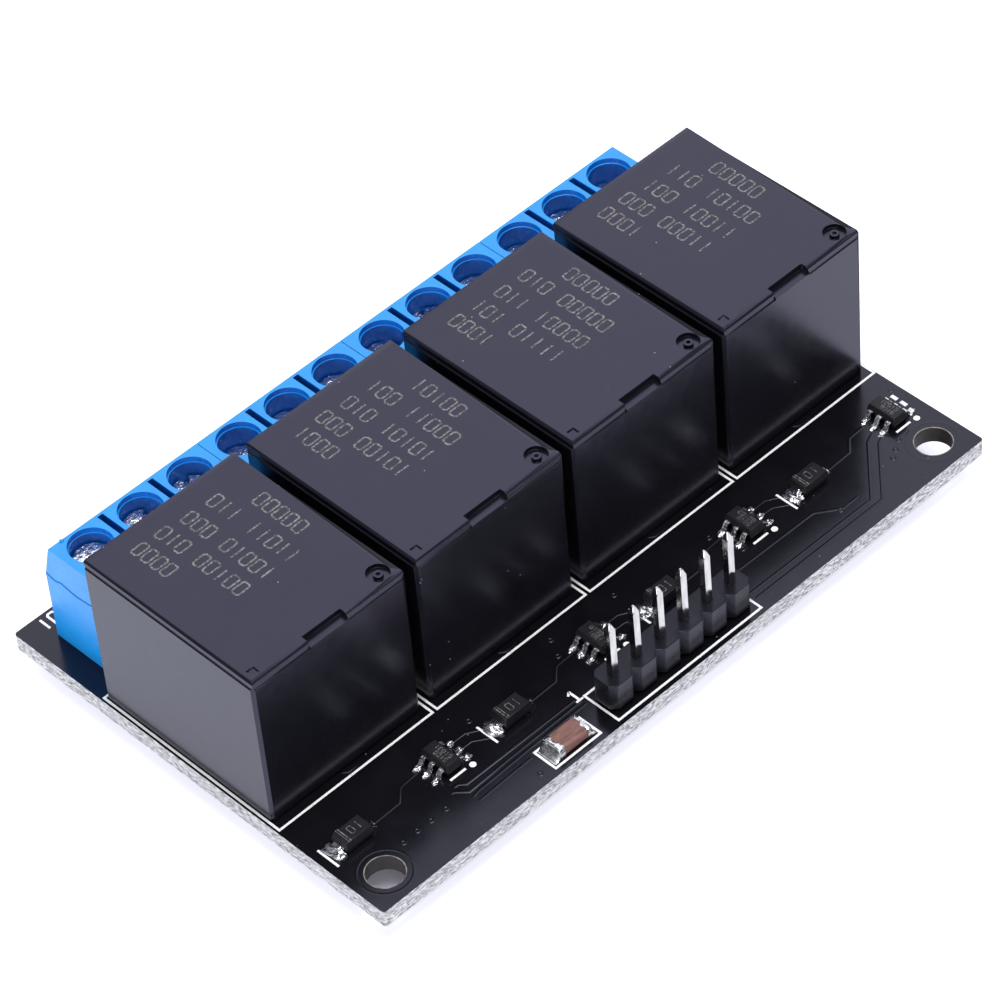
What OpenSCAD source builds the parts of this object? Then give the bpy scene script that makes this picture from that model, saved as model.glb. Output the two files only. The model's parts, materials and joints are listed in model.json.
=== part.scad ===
// Four-channel relay module board: sealed cube relays along one side of a printed
// circuit board, a row of screw terminals behind them, and a pin header, driver chips,
// diodes and a capacitor in front. Millimetres, +Z up, +Y towards the terminals.
// Origin: centre of the board's outline, on the surface that the solder tails stand on.

/* [Board] */
// Length of the board along the relay row
board_l = 65.4; // [65.2:0.1:80]
// Width of the board from the header edge to the terminal edge
board_w = 41.7; // [40:0.1:60]
// Thickness of the board laminate
board_t = 1.6; // [1:0.1:2.4]
// Length of the solder tails below the board
tail_drop = 2.0; // [1.5:0.1:3]
// Diameter of the mounting holes
mount_d = 3.2; // [2.5:0.1:3.4]
// Distance of the mounting holes from the board's ends
mount_inset_x = 2.8; // [2.4:0.1:3.2]
// Distance of the mounting holes from the front edge
mount_inset_y = 2.8; // [2.4:0.1:3.2]

/* [Relay case] */
// Distance between neighbouring relays and their driver channels
relay_pitch = 16.4; // [16.35:0.01:16.6]
// Width of a relay case along the row
relay_w = 15.3; // [15.1:0.1:15.8]
// Depth of a relay case across the board
relay_d = 18.8; // [17:0.1:20]
// Height of a relay case
relay_h = 14.9; // [13:0.1:18]
// Distance from the board's front edge to the relays
relay_y = 12.45; // [11.5:0.05:14]
// Thickness of the case wall and roof
case_wall = 0.75; // [0.5:0.05:0.8]
// Radius of the rounded top edges of the case
case_bevel = 0.5; // [0.2:0.1:0.6]
// Bevel on the upright corners of the case
case_edge = 0.25; // [0.1:0.05:0.4]
// Chamfer on the case's pin-one corner
case_corner = 0.8; // [0.4:0.1:1.2]
// Gap between the case and the board
case_lift = 0.13; // [0.05:0.01:0.3]
// Width of the notch in the front top edge
notch_w = 3.8; // [2:0.1:5]
// Depth of the notch behind the front face
notch_d = 0.9; // [0.4:0.1:1.2]
// Depth of the notch below the roof's top
notch_h = 0.55; // [0.3:0.05:0.6]
// Diameter of the vent recess in the roof
vent_d = 2.2; // [1.6:0.1:2.6]
// Distance of the vent recess from the case's two nearest walls
vent_inset = 1.4; // [1.35:0.05:3]

/* [Relay works] */
// Thickness of the relay's base plate
base_t = 1.45; // [1:0.05:1.6]
// Gap between the relay's base plate and the board
base_lift = 0.35; // [0.2:0.05:0.5]
// Width of the iron yoke and of the armature
iron_w = 8; // [6:0.5:10]
// Thickness of the iron yoke and of the armature
iron_t = 1; // [0.7:0.1:1.1]
// Gap between the closed contact's arm and the case's roof
roof_gap = 0.16; // [0.1:0.01:1]
// Distance from the case's front face to the yoke's outer face
yoke_y = 1.5; // [1.3:0.1:1.8]
// Distance from the yoke's outer face to the coil axis
coil_y = 6.7; // [6.3:0.1:7]
// Diameter of the winding
winding_d = 9.2; // [7:0.1:9.4]
// Diameter of the iron core
core_d = 3.6; // [3:0.1:4]
// Diameter of the core's pole face
pole_d = 4.8; // [4:0.1:6]
// Angle that the armature lifts when the coil is off
armature_lift = 3; // [2:0.1:3.2]
// Distance between the coil pins, and between the two contact pins
pin_span = 12; // [11.8:0.1:12.2]
// Distance from the case's rear face to the contact pins
contact_inset = 2.6; // [2:0.1:2.8]
// Distance from the common pin to the coil pins
coil_pin_run = 2; // [1.8:0.1:2.4]
// Width of the contact springs and blades
blade_w = 1.2; // [0.9:0.1:1.4]
// Thickness of the contact blades
blade_t = 0.5; // [0.3:0.05:0.6]
// Diameter of the contact buttons
button_d = 1.6; // [1.2:0.1:2]

/* [Screw terminals] */
// Distance between neighbouring poles
pole_pitch = 5.08; // [5:0.01:5.08]
// Height of the terminal housings
term_h = 10.1; // [10:0.1:12]
// Depth of the terminal housings at the board
term_d = 7.6; // [7.6:0.1:9]
// Amount by which the top rear edge stands in from the rear face
term_slope = 0.9; // [0.4:0.1:1]
// Height at which the sloping rear face turns upright
term_knee = 6.9; // [6:0.1:8]
// Distance from the terminals' rear face to the screw axis
screw_inset = 3; // [2.9:0.1:3.2]
// Diameter of the screwdriver wells
well_d = 3.5; // [3.4:0.05:3.6]
// Amount by which the rim of each well is wider than the well
well_rim = 0.1; // [0.05:0.01:0.2]
// Depth of the wider rim of each well
well_rim_h = 0.5; // [0.2:0.05:0.8]
// Width of the slots between the poles of a housing
slot_w = 0.55; // [0.3:0.05:0.6]
// Depth of the slots between the poles
slot_h = 2.2; // [1:0.1:3]
// Width of a wire entry
entry_w = 3; // [2.6:0.1:3.2]
// Height of a wire entry
entry_h = 3.6; // [3:0.1:3.8]
// Width of a metal clamp body
clamp_w = 3.8; // [3.6:0.05:3.85]
// Depth of a metal clamp body along the wire
clamp_d = 3.5; // [3:0.1:3.6]
// Height of a metal clamp body
clamp_h = 5.15; // [5:0.05:5.2]
// Thickness of the clamp body's floor and sides
clamp_t = 0.6; // [0.5:0.05:0.7]
// Thickness of the clamp body's threaded top
clamp_top = 1.15; // [1:0.05:1.3]
// Height of the clamp body's underside above the board
clamp_z = 0.85; // [0.8:0.05:1]
// Thickness of the pressure plate under each screw
plate_t = 0.6; // [0.4:0.05:0.7]
// Major diameter of the clamp screws
screw_d = 2.5; // [2:0.1:2.6]
// Diameter of the screw heads
head_d = 3.2; // [3:0.05:3.3]
// Height of the screw heads
head_h = 1.1; // [0.9:0.05:1.1]
// Depth of each screw head below the housing's top, pole by pole
screw_depth = [1.4, 1.6, 1.7, 2.35, 2.2, 2.0, 2.1, 1.9, 2.1, 2.2, 2.0, 2.3];

/* [Pin header] */
// Number of header pins
header_pins_n = 6; // [3:1:6]
// Distance between header pins
header_pitch = 2.54; // [2.5:0.01:2.54]
// Distance from the front edge to the pin row
header_y = 2.35; // [2:0.05:2.6]
// Height of the header's insulator
header_h = 2.54; // [2:0.02:3]
// Gap between the insulator and the board
header_lift = 0.25; // [0:0.05:0.4]
// Width across a square header pin
header_pin_w = 0.64; // [0.5:0.02:0.7]
// Height of the pin tips above the board
header_pin_h = 8.1; // [7:0.1:9]

/* [Small parts] */
// Distance from the front edge to the diode row
diode_y = 6.85; // [6.6:0.05:7.4]
// Distance from the first channel's edge to its diode
diode_x = 3.5; // [3.2:0.1:3.8]
// Length of a diode's moulded body
diode_l = 2.8; // [2.4:0.1:3]
// Width of a diode's moulded body
diode_w = 1.8; // [1.4:0.1:2]
// Height of a diode above the board
diode_h = 1.15; // [0.9:0.05:1.4]
// Length of a diode over its terminals
diode_span = 3.9; // [3.7:0.1:4.1]
// Distance from the front edge to the driver chips' centres
chip_y = 7.35; // [7.2:0.05:7.5]
// Distance from the first channel's edge to its driver chip
chip_x = 13.1; // [12.8:0.1:13.3]
// Width of a driver chip's moulded body
chip_w = 1.6; // [1.4:0.1:1.7]
// Length of a driver chip's moulded body
chip_l = 2.95; // [2.9:0.05:3.1]
// Height of a driver chip above the board
chip_h = 1.15; // [0.9:0.05:1.3]
// Width of a driver chip over its legs
chip_span = 2.9; // [2.7:0.1:3]
// Distance between a driver chip's legs
leg_pitch = 0.95; // [0.9:0.05:1]
// Gap between the capacitor and the header
cap_gap = 2.58; // [1.5:0.01:4]
// Distance from the front edge to the capacitor's centre
cap_y = 1.85; // [1.7:0.05:1.9]
// Length of the capacitor over its end caps
cap_l = 3.4; // [3.2:0.1:3.8]
// Width of the capacitor
cap_w = 1.75; // [1.4:0.05:1.8]
// Height of the capacitor
cap_h = 1.0; // [0.8:0.05:1.4]

/* [Print] */
// Thickness of the printed lines
ink_t = 0.03; // [0.02:0.01:0.05]
// Width of the printed lines
ink_w = 0.2; // [0.15:0.01:0.25]
// Distance from the relays' front to the printed line before them
ink_front = 1.0; // [0.6:0.1:1.2]
// Distance between the printed boxes of neighbouring relays
ink_gap = 0.28; // [0.2:0.01:0.4]
// Distance from the board's ends to the printed lines next to them
ink_end = 0.05; // [0.02:0.01:0.2]

/* [Fits] */
// Clearance round pins and cores in their holes
pin_fit = 0.05; // [0.03:0.01:0.08]
// Clearance between metal works and the mouldings that hold them
seat_fit = 0.05; // [0.03:0.01:0.08]
// Running clearance of the screws, tips and pressure plates
run_fit = 0.05; // [0.03:0.01:0.06]
// Clearance left where moving iron and contacts close
touch_gap = 0.03; // [0.02:0.01:0.05]
// Radial room for solder round each pin in the board
hole_fit = 0.12; // [0.1:0.01:0.2]

/* [Hidden] */
$fn = 48;
relays = 4;
poles_per_block = 3;
poles = relays * poles_per_block;
eps = 0.01;

board_top = tail_drop + board_t;

// Relay row, measured from the board's left front corner
relay_x0 = (board_l - (relays - 1) * relay_pitch - relay_w) / 2;
channel_x0 = relay_x0 - (relay_pitch - relay_w) / 2;
function relay_left(i) = relay_x0 + i * relay_pitch;
function relay_mid(i) = relay_left(i) + relay_w / 2;

// Relay works, measured from the relay's left front corner and the board's top
base_top = base_lift + base_t;
foot_top = base_top + iron_t;
hinge_y = yoke_y;
com_y = yoke_y + iron_t / 2;
coil_axis_y = yoke_y + coil_y;
coil_pin_y = com_y + coil_pin_run;
contact_y = relay_d - contact_inset;
pole_t = 0.4;
flange_t = 0.7;
flange_d = winding_d + 0.6;
drum_wall = 0.5;
rivet_d = 2.4;
foot_l = coil_axis_y + core_d / 2 + 0.5 - yoke_y;
bobbin_bore = core_d + 2 * pin_fit;
drum_d = bobbin_bore + 2 * drum_wall;
foot_plate_w = pin_span + 1.2;
coil_pin_w = 0.6;
com_pin_w = 1;
armature_l = coil_axis_y + pole_d / 2 + 0.8 - yoke_y;
leaf_t = 0.25;
leaf_w = 4;
leaf_rear = contact_y + 0.8;
button_t = 0.35;
arm_t = 0.5;
fixed_button_d = button_d + 0.3;

// The moving button's rear edge, seen from the hinge, sets how high the closed contact
// stands over the yoke. The stack is hung from the case's roof.
reach_y = contact_y + button_d / 2 - hinge_y;
reach_z = touch_gap + iron_t + leaf_t + button_t;
closed_rise = reach_y * sin(armature_lift) + reach_z * cos(armature_lift) + touch_gap;
case_roof = case_lift + relay_h - case_wall;
closed_button_low = case_roof - roof_gap - arm_t - button_t;
yoke_top = closed_button_low - closed_rise;
armature_low = yoke_top + touch_gap;
leaf_low = armature_low + iron_t;
open_button_top = leaf_low - button_t - touch_gap;
bobbin_low = foot_top + seat_fit;
bobbin_high = yoke_top - pole_t - seat_fit;

// Terminal row, measured from the board's left front corner and the board's top
row_gap = 0.22;
block_l = poles_per_block * pole_pitch;
block_seam = 0.06;
term_x0 = (board_l - relays * block_l) / 2;
term_y = relay_y + relay_d + row_gap;
term_rear = term_y + term_d;
term_lift = 0.05;
screw_y = term_rear - screw_inset;
function pole_x(n) = term_x0 + (n + 0.5) * pole_pitch;
window_w = clamp_w - 2 * clamp_t;
window_low = clamp_z + clamp_t;
window_high = clamp_z + clamp_h - clamp_top;
plate_w = window_w - 4 * run_fit;
plate_d = clamp_d - 0.3;
tip_d = 1;
tip_l = plate_t * 0.9;
head_gap = 0.2;
shank_l = (clamp_z + clamp_h + head_gap) - (window_low + run_fit + plate_t);
function head_top(n) = term_h - screw_depth[n];
function plate_top(n) = head_top(n) - head_h - shank_l;
driver_slot_w = 0.5;
driver_slot_h = 0.6;
tail_w = 1;
tail_t = 0.8;
entry_low = window_low - (entry_h - (window_high - window_low)) / 2 - 0.1;
funnel = 0.35;

// Header, centred on the board
header_l = header_pins_n * header_pitch;
header_x0 = (board_l - header_l) / 2 + header_pitch / 2;
block_chamfer = 0.5;
cap_x = header_x0 - header_pitch / 2 - cap_gap - cap_l / 2;
tip_bevel = 0.6;

// Holes and solder
function half_diagonal(w, t) = sqrt(w * w + t * t) / 2;
square_hole_r = half_diagonal(header_pin_w, header_pin_w) + hole_fit / 2;
coil_hole_r = half_diagonal(coil_pin_w, coil_pin_w) + hole_fit / 2;
blade_hole_r = half_diagonal(com_pin_w, blade_t) + hole_fit / 2;
tail_hole_r = half_diagonal(tail_w, tail_t) + hole_fit / 2;
solder_h = 0.9;
pad_rim = 0.35;

black = [0.09, 0.09, 0.1];
case_black = [0.2, 0.2, 0.24];
blue = [0.12, 0.5, 0.94];
tin = [0.75, 0.76, 0.78];
iron = [0.6, 0.6, 0.62];
copper = [0.75, 0.4, 0.2];
brass = [0.8, 0.7, 0.4];
white = [0.95, 0.95, 0.95];

// Places children on the board's top, x and y measured from its left front corner
module on_board(x = 0, y = 0, z = 0) {
    translate([x - board_l / 2, y - board_w / 2, board_top + z]) children();
}

// A box from its lower corner to its upper corner
module span(low, high) {
    translate(low) cube([high[0] - low[0], high[1] - low[1], high[2] - low[2]]);
}

// A flat rectangular line frame
module line_frame(x0, y0, x1, y1) {
    difference() {
        span([x0, y0, 0], [x1, y1, ink_t]);
        span([x0 + ink_w, y0 + ink_w, -eps], [x1 - ink_w, y1 - ink_w, ink_t + eps]);
    }
}

// Children at every relay, in the relay's own frame
module each_relay() {
    for (i = [0:relays - 1]) {
        on_board(relay_left(i), relay_y) children();
    }
}

// Children at the five pins of a relay, called with the wanted kind
module at_coil_pins() {
    for (side = [-1, 1]) {
        translate([relay_w / 2 + side * pin_span / 2, coil_pin_y, 0]) children();
    }
}

module at_blade_pins() {
    translate([relay_w / 2, com_y, 0]) children();
    for (side = [-1, 1]) {
        translate([relay_w / 2 + side * pin_span / 2, contact_y, 0]) children();
    }
}

module at_terminal_tails() {
    for (n = [0:poles - 1]) {
        on_board(pole_x(n), screw_y) children();
    }
}

module at_header_pins() {
    for (n = [0:header_pins_n - 1]) {
        on_board(header_x0 + n * header_pitch, header_y) children();
    }
}

// --- board -----------------------------------------------------------------------

module board_hole(r) {
    translate([0, 0, -board_t - eps]) cylinder(r = r, h = board_t + 2 * eps);
}

module circuit_board() {
    color(black) difference() {
        on_board() span([0, 0, -board_t], [board_l, board_w, 0]);
        for (x = [mount_inset_x, board_l - mount_inset_x]) {
            on_board(x, mount_inset_y) board_hole(mount_d / 2);
        }
        at_header_pins() board_hole(square_hole_r);
        at_terminal_tails() board_hole(tail_hole_r);
        each_relay() at_coil_pins() board_hole(coil_hole_r);
        each_relay() at_blade_pins() board_hole(blade_hole_r);
    }
}

// Printed outlines: a box round each relay, the header and the capacitor, a bar at
// each diode's cathode, and a bar and a dot at each driver chip
module silkscreen() {
    half_gap = ink_gap / 2;
    bar_l = 2.3;
    dot_d = 0.55;
    color(white) {
        for (i = [0:relays - 1]) {
            on_board() line_frame(
                i == 0 ? ink_end : channel_x0 + i * relay_pitch + half_gap,
                relay_y - ink_front,
                i == relays - 1 ? board_l - ink_end : channel_x0 + (i + 1) * relay_pitch - half_gap,
                relay_y + relay_d + row_gap - eps);
            on_board(channel_x0 + i * relay_pitch) {
                span([diode_x - diode_span / 2 - 0.7, diode_y - bar_l / 2, 0],
                    [diode_x - diode_span / 2 - 0.7 + ink_w, diode_y + bar_l / 2, ink_t]);
                span([chip_x - chip_w / 2, chip_y - chip_l / 2 - 0.35, 0],
                    [chip_x + chip_w / 2, chip_y - chip_l / 2 - 0.35 + ink_w, ink_t]);
                translate([chip_x + chip_span / 2, chip_y - chip_l / 2 - 0.35, 0])
                    cylinder(d = dot_d, h = ink_t);
            }
        }
        on_board() line_frame(
            header_x0 - header_pitch / 2 - ink_w - 0.06, header_y - header_pitch / 2 - 0.66,
            header_x0 + header_l - header_pitch / 2 + ink_w + 0.06, header_y + header_pitch / 2 + 0.66);
        on_board() line_frame(cap_x - cap_l / 2 - 0.85, cap_y - cap_w / 2 - 0.45,
            cap_x + cap_l / 2 + 0.7, cap_y + cap_w / 2 + 0.3);
    }
}

// One soldered joint under the board, shaped round a pin of the given width and depth
module solder_cone(w, t) {
    inner_r = half_diagonal(w, t);
    difference() {
        translate([0, 0, -board_t - solder_h])
            cylinder(r1 = inner_r + 0.08, r2 = inner_r + hole_fit / 2 + pad_rim, h = solder_h);
        translate([-w / 2, -t / 2, -board_t - solder_h - eps]) cube([w, t, solder_h + 2 * eps]);
    }
}

module solder_joints() {
    color(tin) {
        at_header_pins() solder_cone(header_pin_w, header_pin_w);
        at_terminal_tails() solder_cone(tail_w, tail_t);
        each_relay() at_coil_pins() solder_cone(coil_pin_w, coil_pin_w);
        each_relay() at_blade_pins() solder_cone(com_pin_w, blade_t);
    }
}

// --- header ------------------------------------------------------------------------

module header_strip() {
    half = header_pitch / 2;
    outline = [
        [-half, -half + block_chamfer], [-half + block_chamfer, -half],
        [half - block_chamfer, -half], [half, -half + block_chamfer],
        [half, half - block_chamfer], [half - block_chamfer, half],
        [-half + block_chamfer, half], [-half, half - block_chamfer]
    ];
    bore = header_pin_w + 2 * eps;
    color(black) difference() {
        at_header_pins() translate([0, 0, header_lift]) linear_extrude(header_h) polygon(outline);
        at_header_pins() translate([-bore / 2, -bore / 2, header_lift - eps])
            cube([bore, bore, header_h + 2 * eps]);
    }
}

module header_pins() {
    w = header_pin_w / 2;
    flat = header_pin_w / 6;
    low = -board_top;
    profile = [
        [-w, low], [w, low], [w, header_pin_h - tip_bevel], [flat, header_pin_h],
        [-flat, header_pin_h], [-w, header_pin_h - tip_bevel]
    ];
    color(tin) at_header_pins() intersection() {
        rotate([90, 0, 0]) translate([0, 0, -w]) linear_extrude(header_pin_w) polygon(profile);
        rotate([90, 0, 90]) translate([0, 0, -w]) linear_extrude(header_pin_w) polygon(profile);
    }
}

// --- surface-mounted parts -----------------------------------------------------------

// A moulded package: a block whose sides draft in above and below its parting height
module moulded_body(l, w, low, high) {
    draft = 0.14;
    mid = (low + high) / 2;
    along = [
        [-l / 2 + draft, low], [l / 2 - draft, low], [l / 2, mid],
        [l / 2 - draft, high], [-l / 2 + draft, high], [-l / 2, mid]
    ];
    across = [
        [-w / 2 + draft, low], [w / 2 - draft, low], [w / 2, mid],
        [w / 2 - draft, high], [-w / 2 + draft, high], [-w / 2, mid]
    ];
    intersection() {
        rotate([90, 0, 0]) translate([0, 0, -w]) linear_extrude(2 * w) polygon(along);
        rotate([90, 0, 90]) translate([0, 0, -l]) linear_extrude(2 * l) polygon(across);
    }
}

module at_diodes() {
    for (i = [0:relays - 1]) {
        on_board(channel_x0 + i * relay_pitch + diode_x, diode_y) children();
    }
}

module at_chips() {
    for (i = [0:relays - 1]) {
        on_board(channel_x0 + i * relay_pitch + chip_x, chip_y) children();
    }
}

chip_foot = 0.1;

module diode_bodies() {
    color(black) at_diodes() moulded_body(diode_l, diode_w, 0, diode_h);
}

module driver_bodies() {
    color(black) at_chips() moulded_body(chip_w, chip_l, chip_foot, chip_h);
}

// The capacitor's ceramic body between its two end caps
cap_end = 0.5;

module capacitor_body() {
    color([0.49, 0.31, 0.26]) on_board(cap_x, cap_y)
        span([-cap_l / 2 + cap_end, -cap_w / 2 + 0.05, 0.05],
            [cap_l / 2 - cap_end, cap_w / 2 - 0.05, cap_h - 0.05]);
}

// A flat diode terminal that folds under the body's end
module diode_tab() {
    tab_w = diode_w * 0.6;
    tab_t = 0.2;
    out = diode_span / 2;
    rotate([90, 0, 0]) translate([0, 0, -tab_w / 2]) linear_extrude(tab_w) polygon([
        [diode_l / 2, 0], [out, 0], [out, tab_t], [diode_l / 2, diode_h / 2]
    ]);
}

// A gull-wing leg from the body's side at mid height down to the board
module chip_leg() {
    leg_w = 0.4;
    leg_t = 0.15;
    side = chip_w / 2;
    mid = (chip_foot + chip_h) / 2;
    bend = side + (chip_span / 2 - side) * 0.45;
    out = chip_span / 2;
    rotate([90, 0, 0]) translate([0, 0, -leg_w / 2]) linear_extrude(leg_w) polygon([
        [side, mid - leg_t / 2], [bend - leg_t, mid - leg_t / 2], [bend, 0], [out, 0],
        [out, leg_t], [bend + leg_t, leg_t], [bend, mid + leg_t / 2], [side, mid + leg_t / 2]
    ]);
}

module smd_leads() {
    color(tin) {
        at_diodes() {
            diode_tab();
            mirror([1, 0, 0]) diode_tab();
        }
        at_chips() for (k = [-1:1]) {
            translate([0, k * leg_pitch, 0]) {
                chip_leg();
                mirror([1, 0, 0]) chip_leg();
            }
        }
        on_board(cap_x, cap_y) for (side = [-1, 1]) {
            span([side * cap_l / 2 - (side > 0 ? cap_end : 0), -cap_w / 2, 0],
                [side * cap_l / 2 + (side > 0 ? 0 : cap_end), cap_w / 2, cap_h]);
        }
    }
}

// --- relay case ------------------------------------------------------------------------

case_top = case_lift + relay_h;

// The case's plan outline, set in by a margin, with its upright corners bevelled and
// its pin-one corner cut
module case_outline(m) {
    cut = case_corner;
    c = case_edge;
    w = relay_w - m;
    d = relay_d - m;
    polygon([
        [m + c, m], [w - cut, m], [w, m + cut], [w, d - c],
        [w - c, d], [m + c, d], [m, d - c], [m, m + c]
    ]);
}

// A side view of the case: w across, relay_h high, its top corners rounded
module case_side(w) {
    r = case_bevel;
    h = relay_h;
    step = 22.5;
    polygon(concat(
        [[0, 0], [w, 0]],
        [for (a = [0:step:90]) [w - r + r * cos(a), h - r + r * sin(a)]],
        [for (a = [90:step:180]) [r + r * cos(a), h - r + r * sin(a)]]));
}

// The case's outer form with its rounded top edges
module case_solid() {
    intersection() {
        linear_extrude(relay_h) case_outline(0);
        rotate([90, 0, 0]) translate([0, 0, -relay_d]) linear_extrude(relay_d) case_side(relay_w);
        rotate([90, 0, 90]) linear_extrude(relay_w) case_side(relay_d);
    }
}

// The vent: a round recess in the roof, with a dimpled boss left standing in it
module vent_recess(depth) {
    boss_d = vent_d * 0.5;
    dimple_d = vent_d * 0.25;
    translate([0, 0, -depth]) difference() {
        cylinder(d = vent_d, h = depth + eps);
        translate([0, 0, -eps]) cylinder(d = boss_d, h = depth * 0.75);
    }
    translate([0, 0, -depth * 0.75]) cylinder(d = dimple_d, h = depth);
}

// A case with its front notch, its vent and a square gate mark at the front left corner
module relay_cover(i) {
    vent_depth = 0.4;
    gate = 0.7;
    gate_depth = 0.15;
    gate_inset = case_bevel + 0.2;
    color(case_black) on_board(relay_left(i), relay_y, case_lift) difference() {
        case_solid();
        translate([0, 0, -eps]) linear_extrude(relay_h - case_wall + eps) case_outline(case_wall);
        translate([(relay_w - notch_w) / 2, -eps, relay_h - notch_h])
            cube([notch_w, notch_d + eps, notch_h + eps]);
        translate([relay_w - vent_inset, vent_inset, relay_h]) vent_recess(vent_depth);
        translate([gate_inset, gate_inset, relay_h - gate_depth]) cube([gate, gate, gate_depth + eps]);
    }
}

// --- relay works -------------------------------------------------------------------------

// A square-cornered pin from a given height down to the tail's tip
module square_pin(w, t, top) {
    span([-w / 2, -t / 2, -board_top], [w / 2, t / 2, top]);
}

// The base plate inside the case's foot, with a slot for each pin
module relay_bases() {
    m = case_wall + seat_fit;
    slot_low = base_lift - eps;
    slot_high = base_top + eps;
    w = com_pin_w / 2 + pin_fit;
    t = blade_t / 2 + pin_fit;
    c = coil_pin_w / 2 + pin_fit;
    color(black) each_relay() difference() {
        translate([0, 0, base_lift]) linear_extrude(base_t) case_outline(m);
        at_blade_pins() span([-w, -t, slot_low], [w, t, slot_high]);
        at_coil_pins() span([-c, -c, slot_low], [c, c, slot_high]);
    }
}

// The L-shaped yoke: its foot lies on the base and is bored for the core's rivet, its
// leg carries the armature, and the common pin runs down from the foot
module relay_yokes() {
    mid = relay_w / 2;
    spring_w = iron_w * 0.4;
    spring_low = yoke_top - (yoke_top - base_top) * 0.6;
    color(iron) each_relay() {
        difference() {
            union() {
                span([mid - iron_w / 2, yoke_y, base_top], [mid + iron_w / 2, yoke_y + foot_l, foot_top]);
                span([mid - iron_w / 2, yoke_y, base_top], [mid + iron_w / 2, yoke_y + iron_t, yoke_top]);
                span([mid - spring_w / 2, yoke_y - leaf_t, spring_low],
                    [mid + spring_w / 2, yoke_y, yoke_top - 0.5]);
            }
            translate([mid, coil_axis_y, base_top - eps])
                cylinder(d = rivet_d + 2 * pin_fit, h = iron_t + 2 * eps);
        }
        translate([mid, com_y, 0]) square_pin(com_pin_w, blade_t, base_top);
    }
}

module relay_cores() {
    color(iron) each_relay() translate([relay_w / 2, coil_axis_y, 0]) {
        translate([0, 0, base_top]) cylinder(d = rivet_d, h = iron_t);
        translate([0, 0, foot_top]) cylinder(d = core_d, h = yoke_top - pole_t - foot_top);
        translate([0, 0, yoke_top - pole_t]) cylinder(d = pole_d, h = pole_t);
    }
}

module relay_bobbins() {
    foot_y = flange_d / 2;
    color(black) each_relay() translate([relay_w / 2, coil_axis_y, 0]) difference() {
        union() {
            span([-foot_plate_w / 2, -foot_y, bobbin_low], [foot_plate_w / 2, foot_y, bobbin_low + flange_t]);
            translate([0, 0, bobbin_low]) cylinder(d = drum_d, h = bobbin_high - bobbin_low);
            translate([0, 0, bobbin_high - flange_t]) cylinder(d = flange_d, h = flange_t);
        }
        translate([0, 0, bobbin_low - eps]) cylinder(d = bobbin_bore, h = bobbin_high - bobbin_low + 2 * eps);
    }
}

module relay_windings() {
    low = bobbin_low + flange_t + seat_fit;
    high = bobbin_high - flange_t - seat_fit;
    color(copper) each_relay() translate([relay_w / 2, coil_axis_y, low]) difference() {
        cylinder(d = winding_d, h = high - low);
        translate([0, 0, -eps]) cylinder(d = drum_d + 2 * pin_fit, h = high - low + 2 * eps);
    }
}

// The coil pins end under the bobbin's foot plate, where the winding's ends are wrapped
module relay_coil_pins() {
    color(tin) each_relay() at_coil_pins() square_pin(coil_pin_w, coil_pin_w, bobbin_low);
}

// A fixed contact: pin, upright, arm to the relay's middle and a button on the arm
module fixed_contact(side, arm_low) {
    mid = relay_w / 2;
    pin_x = mid + side * pin_span / 2;
    inner = mid - side * blade_w;
    outer = pin_x + side * com_pin_w / 2;
    translate([pin_x, contact_y, 0]) square_pin(com_pin_w, blade_t, arm_low);
    span([min(inner, outer), contact_y - blade_w / 2, arm_low],
        [max(inner, outer), contact_y + blade_w / 2, arm_low + arm_t]);
}

module relay_open_contacts() {
    arm_low = open_button_top - button_t - arm_t;
    color(brass) each_relay() {
        fixed_contact(-1, arm_low);
        translate([relay_w / 2, contact_y, arm_low + arm_t]) cylinder(d = fixed_button_d, h = button_t);
    }
}

module relay_closed_contacts() {
    arm_low = closed_button_low + button_t;
    color(brass) each_relay() {
        fixed_contact(1, arm_low);
        translate([relay_w / 2, contact_y, closed_button_low]) cylinder(d = fixed_button_d, h = button_t);
    }
}

// The armature with its contact leaf, drawn closed and turned up about the yoke's top
// front edge by the lift that the return spring gives it
module relay_armature(i) {
    mid = relay_w / 2;
    color(iron) on_board(relay_left(i), relay_y)
        translate([0, hinge_y, yoke_top]) rotate([armature_lift, 0, 0]) translate([0, -hinge_y, -yoke_top]) {
            span([mid - iron_w / 2, yoke_y, armature_low],
                [mid + iron_w / 2, yoke_y + armature_l, armature_low + iron_t]);
            span([mid - leaf_w / 2, yoke_y + 1, leaf_low], [mid + leaf_w / 2, leaf_rear, leaf_low + leaf_t]);
            translate([mid, contact_y, leaf_low - button_t])
                cylinder(d = button_d, h = 2 * button_t + leaf_t);
        }
}

// --- screw terminals -------------------------------------------------------------------

// Places children on the screw axis of a pole, at the board's top
module at_pole(n) {
    on_board(pole_x(n), screw_y) children();
}

// One housing of three poles: side profile along the row, less wells, pockets, wire
// entries and the slots between the poles
module terminal_housing(block) {
    first = block * poles_per_block;
    pocket_w = clamp_w + 2 * seat_fit;
    pocket_d = clamp_d + 2 * seat_fit;
    pocket_h = clamp_z + clamp_h + seat_fit;
    left = term_x0 + block * block_l + block_seam / 2;
    slot_rear = term_d - term_slope - 0.25;
    profile = [
        [0, term_lift], [term_d, term_lift], [term_d, term_knee],
        [term_d - term_slope, term_h], [0, term_h]
    ];
    color(blue) difference() {
        on_board(left, term_y) rotate([90, 0, 90]) linear_extrude(block_l - block_seam) polygon(profile);
        for (k = [0:poles_per_block - 1]) {
            at_pole(first + k) terminal_cavity(pocket_w, pocket_d, pocket_h);
        }
        for (k = [1:poles_per_block - 1]) {
            on_board(term_x0 + block * block_l + k * pole_pitch, term_y, term_h - slot_h)
                span([-slot_w / 2, 0.8, 0], [slot_w / 2, slot_rear, slot_h + eps]);
        }
    }
}

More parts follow.
